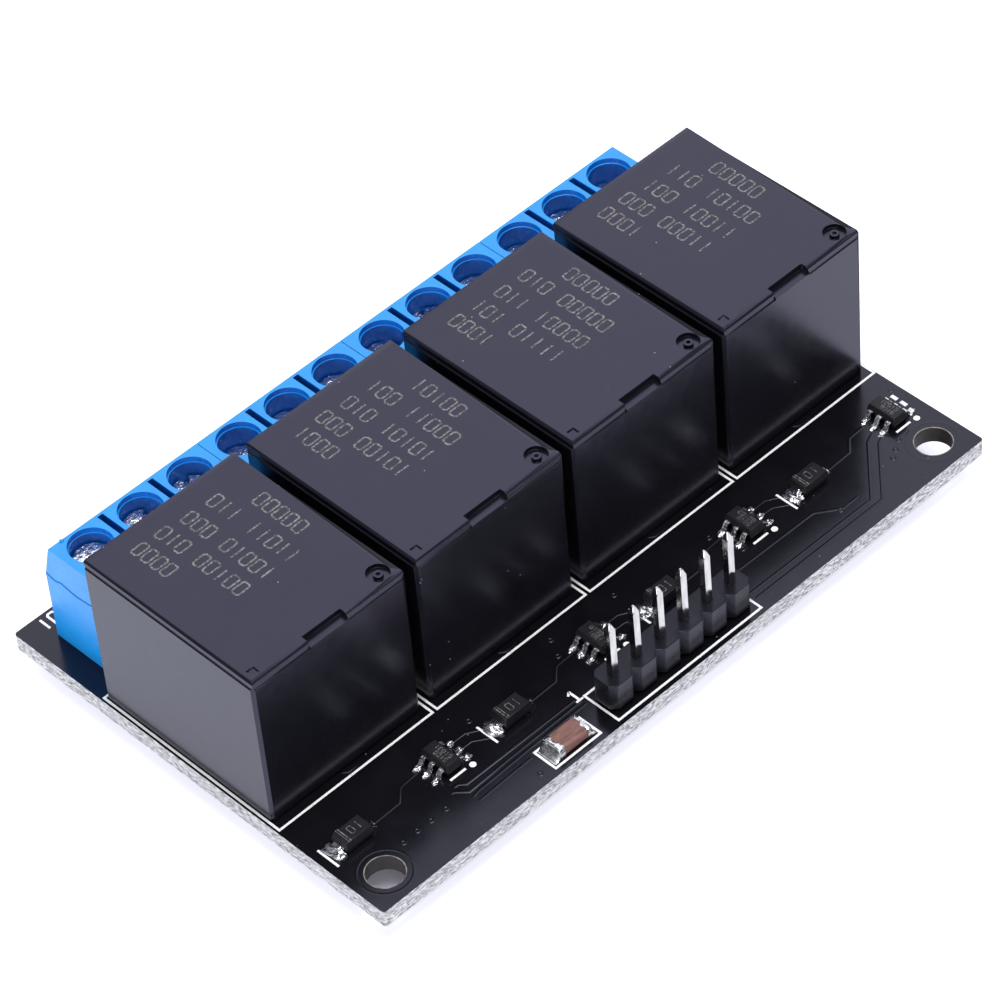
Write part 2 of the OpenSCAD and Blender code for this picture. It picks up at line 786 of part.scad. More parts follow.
// What one pole takes out of its housing
module terminal_cavity(w, d, h) {
    span([-w / 2, -d / 2, 0], [w / 2, d / 2, h]);
    translate([0, 0, h - eps]) cylinder(d = well_d, h = term_h - h + 2 * eps);
    translate([0, 0, term_h - well_rim_h]) cylinder(d = well_d + 2 * well_rim, h = well_rim_h + eps);
    span([-entry_w / 2, 0, entry_low], [entry_w / 2, screw_inset + eps, entry_low + entry_h]);
    span([-entry_w / 2 - funnel, screw_inset - funnel, entry_low - funnel],
        [entry_w / 2 + funnel, screw_inset + eps, entry_low + entry_h + funnel]);
}

// A clamp body: a square frame open along the wire, bored for the screw in its top,
// with its solder tail running down from the floor
module clamp_body(n) {
    at_pole(n) {
        difference() {
            span([-clamp_w / 2, -clamp_d / 2, clamp_z], [clamp_w / 2, clamp_d / 2, clamp_z + clamp_h]);
            span([-window_w / 2, -clamp_d, window_low], [window_w / 2, clamp_d, window_high]);
            translate([0, 0, window_high - eps])
                cylinder(d = screw_d + 2 * run_fit, h = clamp_top + 2 * eps);
        }
        square_pin(tail_w, tail_t, clamp_z);
    }
}

module clamp_bodies(block) {
    color(tin) for (k = [0:poles_per_block - 1]) {
        clamp_body(block * poles_per_block + k);
    }
}

// The plate that the screw's tip carries down onto the wire
module pressure_plate(n) {
    color(brass) at_pole(n) difference() {
        span([-plate_w / 2, -plate_d / 2, plate_top(n) - plate_t], [plate_w / 2, plate_d / 2, plate_top(n)]);
        translate([0, 0, plate_top(n) - plate_t - eps])
            cylinder(d = tip_d + 2 * run_fit, h = plate_t + 2 * eps);
    }
}

// A clamp screw: slotted and crossed cheese head, shank and the neck that its plate
// turns on
module terminal_screw(n) {
    turn = 37 * n;
    color(tin) at_pole(n) {
        difference() {
            translate([0, 0, head_top(n) - head_h]) cylinder(d = head_d, h = head_h);
            rotate([0, 0, turn]) translate([-head_d, -driver_slot_w / 2, head_top(n) - driver_slot_h])
                cube([2 * head_d, driver_slot_w, head_h]);
            rotate([0, 0, turn]) translate([-driver_slot_w / 2, -head_d * 0.3, head_top(n) - driver_slot_h])
                cube([driver_slot_w, head_d * 0.6, head_h]);
        }
        translate([0, 0, plate_top(n)]) cylinder(d = screw_d, h = shank_l);
        translate([0, 0, plate_top(n) - tip_l]) cylinder(d = tip_d, h = tip_l);
    }
}

circuit_board();
silkscreen();
solder_joints();
header_strip();
header_pins();
diode_bodies();
driver_bodies();
capacitor_body();
smd_leads();
relay_cover(0);  // relay_cover_1
relay_cover(1);  // relay_cover_2
relay_cover(2);  // relay_cover_3
relay_cover(3);  // relay_cover_4
relay_bases();
relay_yokes();
relay_cores();
relay_bobbins();
relay_windings();
relay_coil_pins();
relay_open_contacts();
relay_closed_contacts();
relay_armature(0);  // relay_armature_1
relay_armature(1);  // relay_armature_2
relay_armature(2);  // relay_armature_3
relay_armature(3);  // relay_armature_4
terminal_housing(0);  // terminal_housing_1
terminal_housing(1);  // terminal_housing_2
terminal_housing(2);  // terminal_housing_3
terminal_housing(3);  // terminal_housing_4
clamp_bodies(0);  // clamp_bodies_1
clamp_bodies(1);  // clamp_bodies_2
clamp_bodies(2);  // clamp_bodies_3
clamp_bodies(3);  // clamp_bodies_4
pressure_plate(0);  // pressure_plate_1
pressure_plate(1);  // pressure_plate_2
pressure_plate(2);  // pressure_plate_3
pressure_plate(3);  // pressure_plate_4
pressure_plate(4);  // pressure_plate_5
pressure_plate(5);  // pressure_plate_6
pressure_plate(6);  // pressure_plate_7
pressure_plate(7);  // pressure_plate_8
pressure_plate(8);  // pressure_plate_9
pressure_plate(9);  // pressure_plate_10
pressure_plate(10);  // pressure_plate_11
pressure_plate(11);  // pressure_plate_12
terminal_screw(0);  // terminal_screw_1
terminal_screw(1);  // terminal_screw_2
terminal_screw(2);  // terminal_screw_3
terminal_screw(3);  // terminal_screw_4
terminal_screw(4);  // terminal_screw_5
terminal_screw(5);  // terminal_screw_6
terminal_screw(6);  // terminal_screw_7
terminal_screw(7);  // terminal_screw_8
terminal_screw(8);  // terminal_screw_9
terminal_screw(9);  // terminal_screw_10
terminal_screw(10);  // terminal_screw_11
terminal_screw(11);  // terminal_screw_12
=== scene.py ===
"""Looks for the four-channel relay module board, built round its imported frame."""

import json
import math
import random

import bmesh
import bpy
from mathutils import Matrix, Vector, noise

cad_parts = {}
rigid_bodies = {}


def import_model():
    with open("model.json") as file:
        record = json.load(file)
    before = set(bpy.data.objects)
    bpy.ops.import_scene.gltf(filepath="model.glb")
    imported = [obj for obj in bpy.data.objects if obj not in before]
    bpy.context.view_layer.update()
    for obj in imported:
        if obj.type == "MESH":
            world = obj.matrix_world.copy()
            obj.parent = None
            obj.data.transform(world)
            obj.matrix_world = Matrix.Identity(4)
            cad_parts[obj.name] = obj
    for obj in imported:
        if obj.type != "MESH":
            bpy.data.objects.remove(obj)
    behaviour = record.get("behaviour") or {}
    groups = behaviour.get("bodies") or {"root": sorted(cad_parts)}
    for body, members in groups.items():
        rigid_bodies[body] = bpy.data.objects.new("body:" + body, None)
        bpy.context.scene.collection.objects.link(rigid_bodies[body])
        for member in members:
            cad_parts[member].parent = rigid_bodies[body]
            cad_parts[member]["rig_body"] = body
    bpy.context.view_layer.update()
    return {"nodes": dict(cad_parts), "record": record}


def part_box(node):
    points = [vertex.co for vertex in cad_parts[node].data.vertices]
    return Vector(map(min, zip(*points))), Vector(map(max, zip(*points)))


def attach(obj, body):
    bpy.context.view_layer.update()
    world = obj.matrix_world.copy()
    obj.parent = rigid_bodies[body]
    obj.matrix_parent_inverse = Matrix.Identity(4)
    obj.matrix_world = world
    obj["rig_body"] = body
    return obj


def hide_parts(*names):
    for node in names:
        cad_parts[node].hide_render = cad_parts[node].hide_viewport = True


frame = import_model()
nodes = frame["nodes"]
slots_of = {s["node"]: s["material_slot"] for s in frame["record"]["subparts"]}
body_of = {n: o["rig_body"] for n, o in nodes.items()}
scene = bpy.context.scene
scene.view_settings.view_transform = "Standard"

# Lengths are in metres. Names that end in _mm, tables and constants are in millimetres.
MM = 0.001

board_lo, board_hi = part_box("circuit_board")
BOARD_L = (board_hi.x - board_lo.x) / MM
BOARD_W = (board_hi.y - board_lo.y) / MM
RELAYS = 4
PITCH = 16.4
POLES = 12


def board_point(x, y, z=0.0):
    """Millimetres from the board's left front top corner, as a point in the frame."""
    return Vector((board_lo.x + x * MM, board_lo.y + y * MM, board_hi.z + z * MM))


# --- camera --------------------------------------------------------------------------

CAMERA_EYE = Vector((-0.174574, -0.205516, 0.279020))
CAMERA_AIM = Vector((-0.001320, -0.001618, 0.0096))
CAMERA_ROLL_DEG = -5.745
CAMERA_LENS = 177.61
CAMERA_SENSOR = 36


def make_camera():
    """A long lens in front, to the left and above, rolled a little as in the photo."""
    roll = math.radians(CAMERA_ROLL_DEG)
    forward = (CAMERA_AIM - CAMERA_EYE).normalized()
    right = forward.cross(Vector((0, 0, 1))).normalized()
    up = right.cross(forward)
    x_axis = right * math.cos(roll) + up * math.sin(roll)
    y_axis = up * math.cos(roll) - right * math.sin(roll)
    rotation = Matrix((x_axis, y_axis, -forward)).transposed().to_4x4()
    data = bpy.data.cameras.new("camera")
    data.sensor_width = CAMERA_SENSOR
    data.lens = CAMERA_LENS
    data.clip_start = 0.01
    data.clip_end = 20
    camera = bpy.data.objects.new("camera", data)
    camera.matrix_world = Matrix.Translation(CAMERA_EYE) @ rotation
    scene.collection.objects.link(camera)
    scene.camera = camera


make_camera()

# --- materials -----------------------------------------------------------------------


class Shader:
    """A node material built on one Principled shader."""

    def __init__(self, name, **fixed):
        self.material = bpy.data.materials.new(name)
        self.material.use_nodes = True
        self.tree = self.material.node_tree
        self.principled = self.tree.nodes["Principled BSDF"]
        for key, value in fixed.items():
            self.principled.inputs[key.replace("_", " ")].default_value = value
        self.coords = self.add("ShaderNodeTexCoord").outputs["Object"]

    def add(self, kind, **settings):
        node = self.tree.nodes.new(kind)
        for key, value in settings.items():
            setattr(node, key, value)
        return node

    def link(self, a, b):
        self.tree.links.new(a, b)

    def axes(self):
        """The object's own coordinates, one socket for each of X, Y and Z."""
        split = self.add("ShaderNodeSeparateXYZ")
        self.link(self.coords, split.inputs["Vector"])
        return split.outputs

    def scaled(self, scale):
        mapping = self.add("ShaderNodeMapping")
        mapping.inputs["Scale"].default_value = scale
        self.link(self.coords, mapping.inputs["Vector"])
        return mapping.outputs["Vector"]

    def noise(self, size_mm, detail=3.0, rough=0.55, stretch=(1, 1, 1), seed=0.0):
        node = self.add("ShaderNodeTexNoise", noise_dimensions="4D")
        node.inputs["W"].default_value = seed
        node.inputs["Scale"].default_value = 1 / (size_mm * MM)
        node.inputs["Detail"].default_value = detail
        node.inputs["Roughness"].default_value = rough
        self.link(self.scaled(stretch), node.inputs["Vector"])
        return node.outputs["Fac"]

    def cells(self, size_mm):
        """Distance to the middle of the nearest cell."""
        node = self.add("ShaderNodeTexVoronoi", feature="F1")
        node.inputs["Scale"].default_value = 1 / (size_mm * MM)
        self.link(self.scaled((1, 1, 1)), node.inputs["Vector"])
        return node.outputs["Distance"]

    def remap(self, value, from_min, from_max, to_min=0, to_max=1):
        node = self.add("ShaderNodeMapRange")
        node.inputs["From Min"].default_value = from_min
        node.inputs["From Max"].default_value = from_max
        node.inputs["To Min"].default_value = to_min
        node.inputs["To Max"].default_value = to_max
        self.link(value, node.inputs["Value"])
        return node.outputs["Result"]

    def math(self, op, a, b):
        node = self.add("ShaderNodeMath", operation=op)
        for socket, value in zip(node.inputs, (a, b)):
            if isinstance(value, (int, float)):
                socket.default_value = value
            else:
                self.link(value, socket)
        return node.outputs[0]

    def mix(self, factor, a, b):
        """From colour a to colour b: each is a tuple or another node's socket."""
        node = self.add("ShaderNodeMix", data_type="RGBA")
        self.link(factor, node.inputs[0])
        for socket, value in ((node.inputs[6], a), (node.inputs[7], b)):
            if isinstance(value, tuple):
                socket.default_value = (*value, 1)
            else:
                self.link(value, socket)
        return node.outputs[2]

    def colour(self, value):
        self.link(value, self.principled.inputs["Base Color"])

    def rough(self, value):
        self.link(value, self.principled.inputs["Roughness"])

    def bump(self, height, depth_mm):
        node = self.add("ShaderNodeBump")
        node.inputs["Strength"].default_value = 1.0
        node.inputs["Distance"].default_value = depth_mm * MM
        self.link(height, node.inputs["Height"])
        self.link(node.outputs["Normal"], self.principled.inputs["Normal"])


def specks(s, base, dust, size_mm, share):
    """Sparse dust specks over a base colour."""
    spot = s.remap(s.cells(size_mm), 0.03, 0.05, 1, 0)
    here = s.remap(s.noise(size_mm * 3, 1.0, seed=5.0), share, share + 0.01)
    return s.mix(s.math("MULTIPLY", spot, here), base, dust)


def plastic(name, dark, light, rough=0.3, spread=0.07, grain_mm=0.15, depth_mm=0.004,
            dust=None, **fixed):
    """Moulded plastic: fine grain, slow tone changes and optional dust."""
    s = Shader(name, **fixed)
    tone = s.mix(s.remap(s.noise(2.5), 0.3, 0.7), dark, light)
    if dust:
        tone = specks(s, tone, dust, 1.3, 0.58)
    s.colour(tone)
    s.rough(s.remap(s.noise(0.9, 4.0), 0.3, 0.7, rough - spread, rough + spread))
    s.bump(s.noise(grain_mm, 2.0), depth_mm)
    return s.material


def metal(name, low, high, rough, spread, stretch=(1, 1, 1), size_mm=0.35, depth_mm=0.004):
    """Plated metal: drawn or rolled marks and uneven brightness."""
    s = Shader(name, Metallic=1.0)
    s.colour(s.mix(s.remap(s.noise(size_mm, 4.0, stretch=stretch), 0.3, 0.7), low, high))
    s.rough(s.remap(s.noise(size_mm * 1.7, 3.0, stretch=stretch, seed=2.0), 0.3, 0.7,
                    rough - spread, rough + spread))
    s.bump(s.noise(size_mm * 0.6, 3.0, stretch=stretch, seed=4.0), depth_mm)
    return s.material


def board_mask():
    """Glossy black solder mask with a little orange peel, flux haze and dust."""
    s = Shader("board_mask", Specular_IOR_Level=0.44, Specular_Tint=(0.76, 0.76, 1.0, 1))
    haze = s.remap(s.noise(7.0, 2.0), 0.45, 0.75)
    tone = s.mix(haze, (0.0035, 0.0035, 0.005), (0.006, 0.006, 0.008))
    s.colour(specks(s, tone, (0.25, 0.25, 0.27), 1.1, 0.55))
    s.rough(s.remap(s.noise(3.0, 4.0), 0.3, 0.75, 0.14, 0.24))
    s.bump(s.noise(0.5, 2.0), 0.0025)
    return s.material


def board_edge():
    """Cut laminate: pale fibre bundles in layers, with dark pits between them."""
    s = Shader("board_edge", Roughness=0.6)
    strands = s.noise(0.16, 4.0, 0.66, stretch=(0.38, 0.38, 1.7))
    pale = s.mix(s.remap(strands, 0.41, 0.56), (0.17, 0.17, 0.185), (0.72, 0.72, 0.735))
    layers = s.noise(0.17, 3.0, 0.6, stretch=(0.35, 0.35, 1.8), seed=3.0)
    pits = s.remap(layers, 0.395, 0.43, 1, 0)
    s.colour(s.mix(pits, pale, (0.09, 0.09, 0.1)))
    s.bump(strands, 0.05)
    return s.material


def hole_wall():
    """Drilled laminate: brown resin with pale rings of cut fibre."""
    s = Shader("hole_wall", Roughness=0.55)
    rings = s.noise(0.2, 3.0, 0.6, stretch=(0.4, 0.4, 1.5))
    s.colour(s.mix(s.remap(rings, 0.35, 0.65), (0.008, 0.007, 0.009), (0.028, 0.021, 0.015)))
    s.bump(rings, 0.02)
    return s.material


def hole_rim():
    """The thin worn edge of the mask round a hole."""
    s = Shader("hole_rim", Roughness=0.5)
    worn = s.remap(s.noise(0.6, 3.0), 0.35, 0.6)
    s.colour(s.mix(worn, (0.06, 0.055, 0.055), (0.3, 0.28, 0.26)))
    s.bump(s.noise(0.1, 2.0), 0.01)
    return s.material


def print_ink():
    """Printed white ink, a little thin in places."""
    s = Shader("print_ink", Roughness=0.55)
    thin = s.remap(s.noise(0.18, 4.0, 0.7), 0.33, 0.46)
    s.colour(s.mix(thin, (0.55, 0.55, 0.55), (0.94, 0.94, 0.94)))
    s.bump(s.noise(0.1, 3.0), 0.004)
    return s.material


def etched():
    """Laser marking: the black plastic turned pale in broken strokes."""
    s = Shader("etched", Roughness=0.7)
    worn = s.remap(s.noise(0.2, 5.0, 0.75), 0.45, 0.57)
    s.colour(s.mix(worn, (0.025, 0.025, 0.034), (0.25, 0.24, 0.24)))
    return s.material


def ceramic():
    """The capacitor's fired body: pinkish brown with fine rubbed streaks."""
    s = Shader("ceramic", Roughness=0.45)
    streak = s.noise(0.2, 4.0, 0.6, stretch=(0.15, 1.0, 1.0))
    s.colour(s.mix(s.remap(streak, 0.3, 0.7), (0.1, 0.042, 0.035), (0.27, 0.125, 0.105)))
    s.bump(s.noise(0.08, 2.0), 0.004)
    return s.material


WIRE_MM = 0.12


def winding():
    """Fine enamelled wire wound round an upright coil."""
    s = Shader("winding", Metallic=0.7, Roughness=0.35)
    along = s.math("MULTIPLY", s.axes()["Z"], 2 * math.pi / (WIRE_MM * MM))
    turns = s.math("SINE", along, 0)
    tone = s.remap(s.noise(1.0, 3.0), 0.3, 0.7)
    s.colour(s.mix(tone, (0.34, 0.11, 0.04), (0.62, 0.26, 0.12)))
    s.bump(turns, 0.03)
    return s.material


BLACK_DUST = (0.3, 0.3, 0.32)
LOOKS = {
    "board_mask": board_mask(),
    "board_edge": board_edge(),
    "hole_wall": hole_wall(),
    "hole_rim": hole_rim(),
    "print_white": print_ink(),
    "etched": etched(),
    "solder": metal("solder", (0.5, 0.51, 0.54), (0.9, 0.9, 0.92), rough=0.24, spread=0.12,
                    size_mm=0.5, depth_mm=0.05),
    "header_plastic": plastic("header_plastic", (0.005, 0.005, 0.007), (0.009, 0.009, 0.012),
                              spread=0.06, grain_mm=0.12, dust=BLACK_DUST,
                              Specular_IOR_Level=0.37, Specular_Tint=(0.75, 0.75, 1.0, 1)),
    "tin_plate": metal("tin_plate", (0.44, 0.43, 0.42), (0.66, 0.65, 0.63),
                       rough=0.14, spread=0.06, stretch=(1, 1, 0.2)),
    "zinc_plate": metal("zinc_plate", (0.74, 0.76, 0.8), (0.97, 0.97, 0.98),
                        rough=0.2, spread=0.08, size_mm=0.55, depth_mm=0.09),
    "package_epoxy": plastic("package_epoxy", (0.005, 0.005, 0.0075), (0.008, 0.008, 0.0115),
                             rough=0.46, spread=0.08, grain_mm=0.06, depth_mm=0.008,
                             dust=BLACK_DUST, Specular_IOR_Level=0.28),
    "capacitor_ceramic": ceramic(),
    "relay_plastic": plastic("relay_plastic", (0.004, 0.004, 0.006), (0.006, 0.006, 0.008),
                             rough=0.24, spread=0.03, grain_mm=0.09, depth_mm=0.0015,
                             dust=BLACK_DUST,
                             Specular_IOR_Level=0.61, Specular_Tint=(0.65, 0.64, 1.0, 1)),
    "relay_inner_plastic": plastic("relay_inner_plastic", (0.02, 0.02, 0.02),
                                   (0.04, 0.04, 0.04), rough=0.55, spread=0.08,
                                   grain_mm=0.2, depth_mm=0.01),
    "soft_iron": metal("soft_iron", (0.4, 0.4, 0.42), (0.68, 0.68, 0.7),
                       rough=0.35, spread=0.1),
    "winding_wire": winding(),
    "contact_brass": metal("contact_brass", (0.55, 0.36, 0.13), (0.85, 0.62, 0.3),
                           rough=0.3, spread=0.1),
    "terminal_blue": plastic("terminal_blue", (0.008, 0.265, 0.72), (0.012, 0.3, 0.8),
                             rough=0.34, Specular_IOR_Level=0.45),
    # The next two blues are painted shade for the walls inside the screw wells and the slots: a
    # mid blue for the wells' upper band, a deeper one lower down
    "terminal_rim_painted_shade": plastic("terminal_rim_painted_shade", (0.004, 0.16, 0.66), (0.005, 0.19, 0.74),
                            Specular_IOR_Level=0.35),
    "terminal_painted_shade": plastic("terminal_painted_shade", (0.003, 0.105, 0.44), (0.004, 0.125, 0.5),
                              Specular_IOR_Level=0.25),
}

# --- helpers -------------------------------------------------------------------------


def extent(bm, axis):
    """A mesh's least and greatest coordinate along an axis."""
    values = [v.co[axis] for v in bm.verts]
    return min(values), max(values)


def add_piece(name, bm, materials, body="root", replaces=(), angle=35):
    """A bmesh as a named piece on a body, smooth apart from edges sharper than angle."""
    bmesh.ops.recalc_face_normals(bm, faces=bm.faces)
    mesh = bpy.data.meshes.new(name)
    bm.to_mesh(mesh)
    bm.free()
    for look in materials:
        mesh.materials.append(LOOKS[look])
    mesh.shade_smooth()
    mesh.set_sharp_from_angle(angle=math.radians(angle))
    piece = bpy.data.objects.new(name, mesh)
    scene.collection.objects.link(piece)
    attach(piece, body)
    if replaces:
        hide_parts(*replaces)
    return piece


def copy_of(node):
    """The node's mesh with its flat faces made whole."""
    bm = bmesh.new()
    bm.from_mesh(nodes[node].data)
    bmesh.ops.remove_doubles(bm, verts=bm.verts, dist=0.0005 * MM)
    bmesh.ops.dissolve_limit(bm, angle_limit=math.radians(0.6), verts=bm.verts, edges=bm.edges)
    return bm


def bevel(piece, width_mm, segments=2, angle=30):
    """Softens a piece's edges that are sharper than angle."""
    modifier = piece.modifiers.new("edges", "BEVEL")
    modifier.width = width_mm * MM
    modifier.segments = segments
    modifier.limit_method = "ANGLE"
    modifier.angle_limit = math.radians(angle)
    weighted = piece.modifiers.new("normals", "WEIGHTED_NORMAL")
    weighted.weight = 60
    weighted.keep_sharp = True


def refined(name, node, width_mm, materials=None, segments=2, change=None):
    """A CAD node's own shape with softened edges, in its place."""
    bm = copy_of(node)
    if change:
        change(bm)
    slot = slots_of[node]
    piece = add_piece(name, bm, materials or [slot], body_of[node], (node,))
    bevel(piece, width_mm, segments)


def join_rings(bm, a, b):
    """Faces between two closed rings of as many vertices."""
    for k in range(len(a)):
        after = (k + 1) % len(a)
        bm.faces.new((a[k], a[after], b[after], b[k]))


def tube(bm, rings):
    """A solid through a row of rings, with a flat cap at each end."""
    for a, b in zip(rings, rings[1:]):
        join_rings(bm, a, b)
    bm.faces.new(rings[0][::-1])
    bm.faces.new(rings[-1])


def ribbon(bm, points, width, low, high, slope=0.0):
    """A flat strip along a polyline, in board millimetres, narrowed at its top by slope."""
    points = [Vector(p) for p in points]
    half = width / 2
    profile = ((-half, low), (half, low), (half - slope, high), (slope - half, high))
    rings = []
    for i, p in enumerate(points):
        before = (p - points[i - 1] if i else points[1] - p).normalized()
        after = (points[i + 1] - p).normalized() if i < len(points) - 1 else before
        normal_a = Vector((-before.y, before.x))
        normal_b = Vector((-after.y, after.x))
        across = (normal_a + normal_b).normalized()
        # A mitre at a sharp turn is held to twice the strip's width
        across /= max(0.5, across.dot(normal_a))
        ring = []
        for offset, z in profile:
            q = p + across * offset
            ring.append(bm.verts.new(board_point(q.x, q.y, z)))
        rings.append(ring)
    tube(bm, rings)


DIGIT_HALF_WIDTH = 0.27
DIGIT_CORNER = 0.4


def digit(bm, place, turned, size, one, stroke, low, high):
    """A plain 0 or 1 lying on a top face; turned lays its height along x."""
    half = size / 2
    wide = 0.0 if one else size * DIGIT_HALF_WIDTH
    cut = wide * DIGIT_CORNER
    # The 0 starts and ends in the middle of its left side
    outline = [(-wide, 0), (-wide, half - cut), (cut - wide, half), (wide - cut, half),
               (wide, half - cut), (wide, cut - half), (wide - cut, -half), (cut - wide, -half),
               (-wide, cut - half), (-wide, 0)]
    if one:
        outline = [(0, -half), (0, half)]
    points = [(place[0] + (v if turned else u), place[1] + (u if turned else v))
              for u, v in outline]
    ribbon(bm, points, stroke, low, high)


def ring_ridge(bm, x, y, inner, outer, low, high, steps=28):
    """A low ring with sloping sides on the board."""
    mid_in = inner + (outer - inner) * 0.3
    mid_out = outer - (outer - inner) * 0.3
    rows = []
    for r, z in ((inner, low), (mid_in, high), (mid_out, high), (outer, low)):
        turns = [2 * math.pi * k / steps for k in range(steps)]
        rows.append([bm.verts.new(board_point(x + r * math.cos(t), y + r * math.sin(t), z))
                     for t in turns])
    for a, b in zip(rows, rows[1:] + rows[:1]):
        join_rings(bm, a, b)


BLOB_RINGS = 10
BLOB_STEPS = 16


def blob(bm, centre, size, seed, lumps, floor=0.0):
    """A lumpy drop: a dome on a flat foot, in board millimetres."""
    rows = []
    for j in range(BLOB_RINGS + 1):
        polar = math.pi / 2 * j / BLOB_RINGS
        row = []
        for k in range(BLOB_STEPS):
            turn = 2 * math.pi * k / BLOB_STEPS
            nx = math.cos(polar) * math.cos(turn)
            ny = math.cos(polar) * math.sin(turn)
            nz = math.sin(polar)
            lump = 1 + lumps * noise.noise(Vector((nx * 1.7 + seed, ny * 1.7, nz * 1.7)))
            row.append(bm.verts.new(board_point(centre[0] + size[0] * nx * lump,
                                                centre[1] + size[1] * ny * lump,
                                                floor + size[2] * nz * lump)))
            if j == BLOB_RINGS:
                break
        rows.append(row)
    *sides, tip = rows
    for a, b in zip(sides, sides[1:]):
        join_rings(bm, a, b)
    last = sides[-1]
    for k in range(BLOB_STEPS):
        bm.faces.new((last[k], last[(k + 1) % BLOB_STEPS], tip[0]))
    bm.faces.new(rows[0][::-1])


# --- board ---------------------------------------------------------------------------

HOLES = [(2.8, 2.8), (BOARD_L - 2.8, 2.8)]
HOLE_R = 1.6
CORNER_R = 0.3
PAD_RING = (2.02, 2.3)
VIA_RING = (0.1, 0.27)
VIAS = ((17.22, 1.11), (10.09, 3.87), (8.53, 3.87), (7.16, 3.91), (5.66, 3.83), (60.95, 4.99),
        (59.97, 4.4), (59.15, 3.9), (64.69, 9.24), (26.5, 8.6), (27.3, 10.2), (43.2, 8.7),
        (44.1, 5.9), (52.2, 3.1), (30.9, 5.3), (17.3, 8.9), (33.9, 9.9))
TRACE_W = 0.3
JOG_W = 0.16
BUS_W = 0.28
TRACE_H = 0.018
TRACE_SLOPE = 0.05
# The last channel that has the trace, its width and its route from the channel's left edge
CHANNEL_TRACES = (
    (3, TRACE_W, ((5.2, 6.85), (8.1, 6.9), (9.2, 8.0), (11.4, 8.1))),
    (2, TRACE_W, ((14.7, 8.3), (16.2, 8.3), (17.4, 7.6))),
    (2, TRACE_W, ((14.7, 7.35), (16.0, 7.35), (17.4, 6.4))),
    (3, JOG_W, ((7.3, 12.25), (7.7, 11.95), (8.5, 11.95), (8.9, 12.1))),
)
BUS_TRACES = (
    ((11.9, 4.95), (12.35, 4.95), (12.8, 4.5), (24.1, 4.45)),
    ((11.3, 4.65), (11.6, 4.65), (12.4, 3.8), (16.8, 3.92), (24.4, 4.02)),
    ((12.2, 3.2), (12.9, 3.35), (18.5, 3.5), (24.5, 3.55)),
    ((12.3, 2.6), (15.6, 2.7), (17.9, 2.75)),
    ((40.9, 2.2), (54.6, 2.1), (59.1, 6.6), (60.3, 7.1)),
    ((40.9, 1.5), (55.2, 1.45), (59.6, 5.85), (60.4, 6.2)),
    ((42.0, 4.6), (50.5, 4.5), (52.4, 3.1), (54.2, 3.1)),
)


def make_board():
    """The laminate with rounded corners, its cut edges and holes in their own looks."""
    bm = copy_of("circuit_board")
    lo, hi = board_lo, board_hi
    outer = [Vector((x, y)) for x in (lo.x, hi.x) for y in (lo.y, hi.y)]
    corners = [e for e in bm.edges
               if abs(e.verts[0].co.z - e.verts[1].co.z) > 1.0 * MM
               and min((e.verts[0].co.xy - c).length for c in outer) < 0.1 * MM]
    bmesh.ops.bevel(bm, geom=corners, offset=CORNER_R * MM, segments=4, profile=0.5,
                    affect="EDGES")
    looks = ["board_mask", "board_edge", "hole_wall", "tin_plate"]
    bm.normal_update()
    for face in bm.faces:
        centre = face.calc_center_median()
        to_edge = min(centre.x - lo.x, hi.x - centre.x, centre.y - lo.y, hi.y - centre.y)
        to_hole = min((centre - board_point(x, y)).xy.length for x, y in HOLES)
        if abs(face.normal.z) > 0.7:
            look = "board_mask"
        elif to_edge < 0.25 * MM:
            look = "board_edge"
        elif to_hole < (HOLE_R + 0.1) * MM:
            look = "hole_wall"
        else:
            look = "tin_plate"
        face.material_index = looks.index(look)
    piece = add_piece("laminate", bm, looks, "root", ("circuit_board",))
    bevel(piece, 0.03, 1, 60)


def make_hole_rims():
    """The worn rims of the two holes, then the rings that show through the mask."""
    bm = bmesh.new()
    for x, y in HOLES:
        ring_ridge(bm, x, y, HOLE_R - 0.07, HOLE_R + 0.04, -0.02, 0.012, 64)
    add_piece("hole_rims", bm, ["hole_rim"])
    bm = bmesh.new()
    for x, y in HOLES:
        ring_ridge(bm, x, y, *PAD_RING, 0.0, 0.014, 64)
    for x, y in VIAS:
        ring_ridge(bm, x, y, *VIA_RING, 0.0, 0.03, 20)
    add_piece("via_rings", bm, ["board_mask"])


def make_traces():
    """Copper tracks as low ridges under the mask."""
    bm = bmesh.new()
    for i in range(RELAYS):
        for last, width, route in CHANNEL_TRACES:
            if i <= last:
                ribbon(bm, [(PITCH * i + x, y) for x, y in route], width,
                       0, TRACE_H, TRACE_SLOPE)
    for route in BUS_TRACES:
        ribbon(bm, route, BUS_W, 0, TRACE_H, TRACE_SLOPE)
    add_piece("traces", bm, ["board_mask"])


INK_H = 0.03
HEADER_MARK = (24.4, 4.75)
# Each stroke of the 1 beside the header: its two ends and its width
HEADER_STROKES = (((0, -0.55), (0, 0.6), 0.2), ((-0.34, 0.3), (-0.02, 0.58), 0.18),
                  ((-0.35, -0.6), (0.35, -0.6), 0.18))
TERMINAL_MARKS = ((2.3, True), (3.3, False))
TERMINAL_MARK_Y = 40.65


def make_marks():
    """Plain digits in printed ink beside the header and behind the first terminal."""
    bm = bmesh.new()
    x, y = HEADER_MARK
    for start, end, width in HEADER_STROKES:
        ribbon(bm, [(x + start[0], y + start[1]), (x + end[0], y + end[1])], width, 0.0, INK_H)
    for place, one in TERMINAL_MARKS:
        digit(bm, (place, TERMINAL_MARK_Y), False, 1.25, one, 0.2, 0.0, INK_H)
    add_piece("board_marks", bm, ["print_white"])


make_board()
make_hole_rims()
make_traces()
make_marks()

# --- relays --------------------------------------------------------------------------

# How far the marking stands over the case's lowered top
SKIN = 0.012
